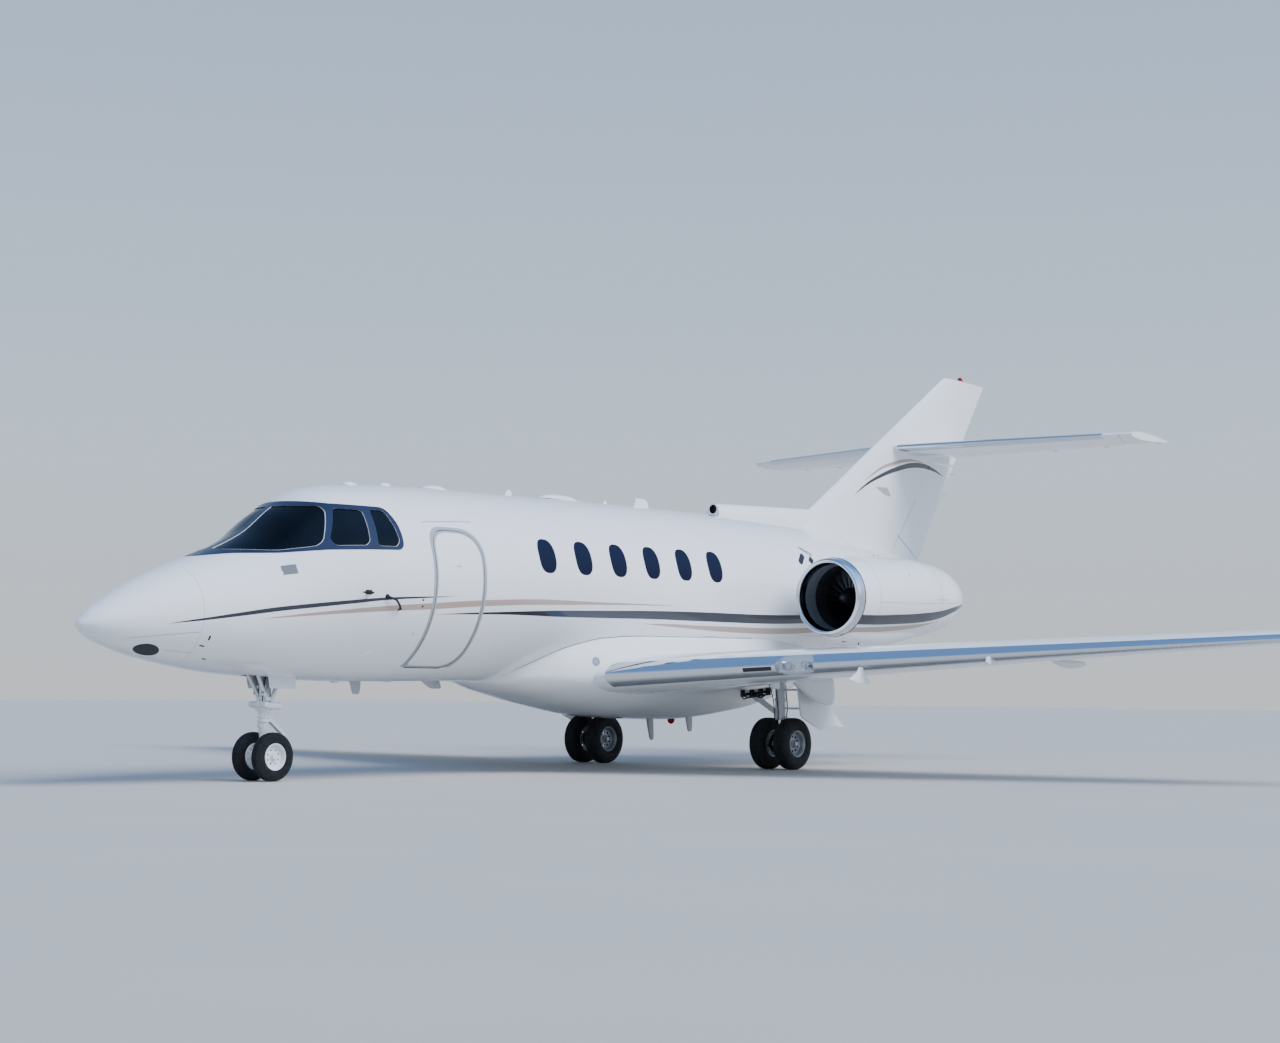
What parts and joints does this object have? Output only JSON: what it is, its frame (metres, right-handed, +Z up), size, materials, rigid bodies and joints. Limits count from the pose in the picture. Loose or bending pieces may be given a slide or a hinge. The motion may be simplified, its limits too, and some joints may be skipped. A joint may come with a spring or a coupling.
{
  "type": "business jet",
  "caption": "Business jet with twin rear engines, swept low wing with winglets, mid-set tailplane, airstair door and retractable gear, parked.",
  "frame": {"origin": "centre of the bounding box on the ground that the tyres stand on", "axes": "+X towards the nose, +Y to the left wing tip, +Z up"},
  "size_m": [15.6, 16.5822, 5.36],
  "materials": {
    "white_paint": "gloss white polyurethane paint over aluminium skin",
    "radome_paint": "gloss white paint over a moulded composite nose",
    "gear_paint": "gloss white enamel on forged gear legs",
    "polished_metal": "mirror polished bare aluminium",
    "wheel_metal": "painted forged wheel halves",
    "fan_metal": "ground titanium grey blades and spinner",
    "engine_metal": "heat-darkened casing",
    "tyre": "black aircraft tyre with ribbed tread",
    "window_glass": "dark tinted stretched acrylic and glass",
    "seat_leather": "cream upholstery leather",
    "carpet": "cut pile carpet",
    "panel_plastic": "dark textured instrument panel"
  },
  "bodies": {
    "airframe": {"radome": "radome_paint", "nose_section": "white_paint", "cockpit_section": "white_paint", "cabin_section": "white_paint", "rear_section": "white_paint", "belly_fairing": "white_paint", "cabin_windows_left": "window_glass", "cabin_windows_right": "window_glass", "cockpit_glass_left": "window_glass", "cockpit_glass_right": "window_glass", "wing_left": "white_paint", "wing_right": "white_paint", "winglet_left": "white_paint", "winglet_right": "white_paint", "fin": "white_paint", "dorsal_fairing": "white_paint", "tailplane_left": "white_paint", "tailplane_right": "white_paint", "nacelle_left": "white_paint", "nacelle_right": "white_paint", "intake_lip_left": "polished_metal", "intake_lip_right": "polished_metal", "engine_core_left": "engine_metal", "engine_core_right": "engine_metal", "pylon_left": "white_paint", "pylon_right": "white_paint", "nose_leg": "gear_paint", "nose_door_left": "white_paint", "nose_door_right": "white_paint", "main_leg_left": "gear_paint", "main_leg_right": "gear_paint", "main_door_left": "white_paint", "main_door_right": "white_paint", "cabin_floor": "carpet", "instrument_panel": "panel_plastic", "cockpit_seats": "seat_leather", "cabin_seats_left": "seat_leather", "cabin_seats_right": "seat_leather"},
    "nose_steering": {"nose_fork": "gear_paint"},
    "nose_wheels": {"nose_tyre_left": "tyre", "nose_tyre_right": "tyre", "nose_hubs": "wheel_metal"},
    "main_left_wheels": {"main_left_tyre_left": "tyre", "main_left_tyre_right": "tyre", "main_left_hubs": "wheel_metal"},
    "main_right_wheels": {"main_right_tyre_left": "tyre", "main_right_tyre_right": "tyre", "main_right_hubs": "wheel_metal"},
    "entrance_door": {"entrance_door": "white_paint"},
    "fan_left": {"fan_left": "fan_metal"},
    "fan_right": {"fan_right": "fan_metal"},
    "rudder": {"rudder": "white_paint"},
    "elevator_left": {"elevator_left": "white_paint"},
    "elevator_right": {"elevator_right": "white_paint"},
    "aileron_left": {"aileron_left": "white_paint"},
    "aileron_right": {"aileron_right": "white_paint"},
    "flap_left": {"flap_left": "white_paint"},
    "flap_right": {"flap_right": "white_paint"}
  },
  "joints": [
    {"name": "nose_steer", "type": "hinge", "parent": "airframe", "child": "nose_steering", "pos_m": [5.7, 0, 0.6], "axis": [0, 0, 1], "range_deg": [-45, 45]},
    {"name": "nose_wheels_turn", "type": "hinge", "parent": "nose_steering", "child": "nose_wheels", "pos_m": [5.7, 0, 0.2285], "axis": [0, 1, 0], "continuous": true},
    {"name": "main_left_wheels_turn", "type": "hinge", "parent": "airframe", "child": "main_left_wheels", "pos_m": [-0.71, 1.395, 0.292], "axis": [0, 1, 0], "continuous": true},
    {"name": "main_right_wheels_turn", "type": "hinge", "parent": "airframe", "child": "main_right_wheels", "pos_m": [-0.71, -1.395, 0.292], "axis": [0, 1, 0], "continuous": true},
    {"name": "door_hinge", "type": "hinge", "parent": "airframe", "child": "entrance_door", "pos_m": [4.07, 0.481, 1.075], "axis": [-1, 0, 0], "range_deg": [0, 112]},
    {"name": "fan_left_turn", "type": "hinge", "parent": "airframe", "child": "fan_left", "pos_m": [-1.33, 1.6, 1.978], "axis": [0.9996, 0, -0.029], "continuous": true},
    {"name": "fan_right_turn", "type": "hinge", "parent": "airframe", "child": "fan_right", "pos_m": [-1.33, -1.6, 1.978], "axis": [0.9996, 0, -0.029], "continuous": true},
    {"name": "rudder_hinge", "type": "hinge", "parent": "airframe", "child": "rudder", "pos_m": [-5.35947, 0, 3.02], "axis": [-0.6321, 0, 0.7749], "range_deg": [-25, 25]},
    {"name": "elevator_left_hinge", "type": "hinge", "parent": "airframe", "child": "elevator_left", "pos_m": [-6.4232, 0.52, 4.2295], "axis": [-0.2564, 0.9662, 0.0269], "range_deg": [-15, 20]},
    {"name": "elevator_right_hinge", "type": "hinge", "parent": "airframe", "child": "elevator_right", "pos_m": [-6.4232, -0.52, 4.2295], "axis": [0.2564, 0.9662, -0.0269], "range_deg": [-15, 20]},
    {"name": "aileron_left_hinge", "type": "hinge", "parent": "airframe", "child": "aileron_left", "pos_m": [-1.2433, 4.96, 1.3441], "axis": [-0.2032, 0.9773, 0.0596], "range_deg": [-20, 20]},
    {"name": "aileron_right_hinge", "type": "hinge", "parent": "airframe", "child": "aileron_right", "pos_m": [-1.2433, -4.96, 1.3441], "axis": [0.2032, 0.9773, -0.0596], "range_deg": [-20, 20]},
    {"name": "flap_left_hinge", "type": "hinge", "parent": "airframe", "child": "flap_left", "pos_m": [-0.5827, 2.05, 1.1261], "axis": [0.2087, -0.9752, -0.0732], "range_deg": [0, 45]},
    {"name": "flap_right_hinge", "type": "hinge", "parent": "airframe", "child": "flap_right", "pos_m": [-0.5827, -2.05, 1.1261], "axis": [-0.2087, -0.9752, 0.0732], "range_deg": [0, 45]}
  ],
  "couplings": [
    {"joint": "elevator_right_hinge", "follows": "elevator_left_hinge", "ratio": 1},
    {"joint": "aileron_right_hinge", "follows": "aileron_left_hinge", "ratio": -1},
    {"joint": "flap_right_hinge", "follows": "flap_left_hinge", "ratio": 1}
  ]
}
